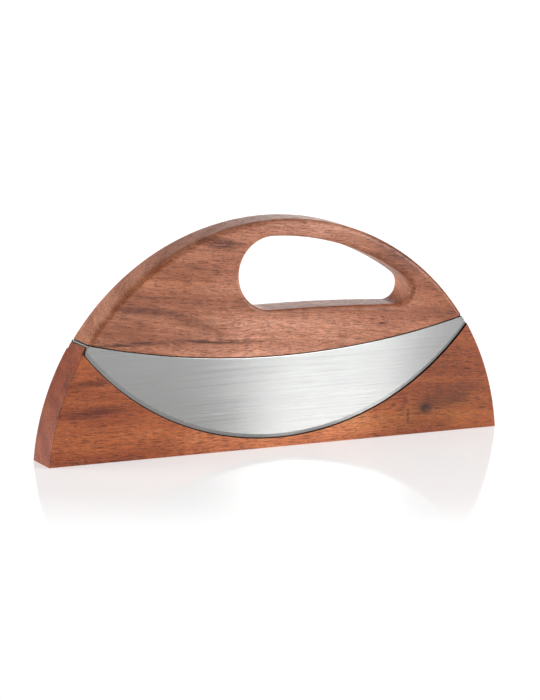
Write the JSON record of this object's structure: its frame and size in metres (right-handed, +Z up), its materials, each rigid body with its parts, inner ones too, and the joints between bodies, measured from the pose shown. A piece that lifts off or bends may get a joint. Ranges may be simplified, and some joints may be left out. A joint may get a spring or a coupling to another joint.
{
  "type": "mezzaluna",
  "caption": "Double-bladed rocking herb chopper with a one-piece wooden handle over crescent blades, resting in a matching wooden stand.",
  "frame": {"origin": "middle of the stand's flat underside", "axes": "+X along the object towards the narrow end of the grip opening, +Y from the front face to the back face, +Z up"},
  "size_m": [0.28, 0.023, 0.1295],
  "materials": {
    "handle_wood": "oiled, satin",
    "stand_wood": "oiled, satin",
    "blade_steel": "brushed lengthwise",
    "plate_steel": "brushed",
    "screw_steel": "plain"
  },
  "bodies": {
    "stand": {"stand": "stand_wood"},
    "mezzaluna": {"handle": "handle_wood", "spine_plate": "plate_steel", "front_blade": "blade_steel", "back_blade": "blade_steel", "spine_screw_1": "screw_steel", "spine_screw_2": "screw_steel", "spine_screw_3": "screw_steel", "spine_screw_4": "screw_steel"}
  },
  "joints": [
    {"name": "lift_off", "type": "slide", "parent": "stand", "child": "mezzaluna", "axis": [0, 0, 1], "range_m": [0, 0.08]}
  ]
}
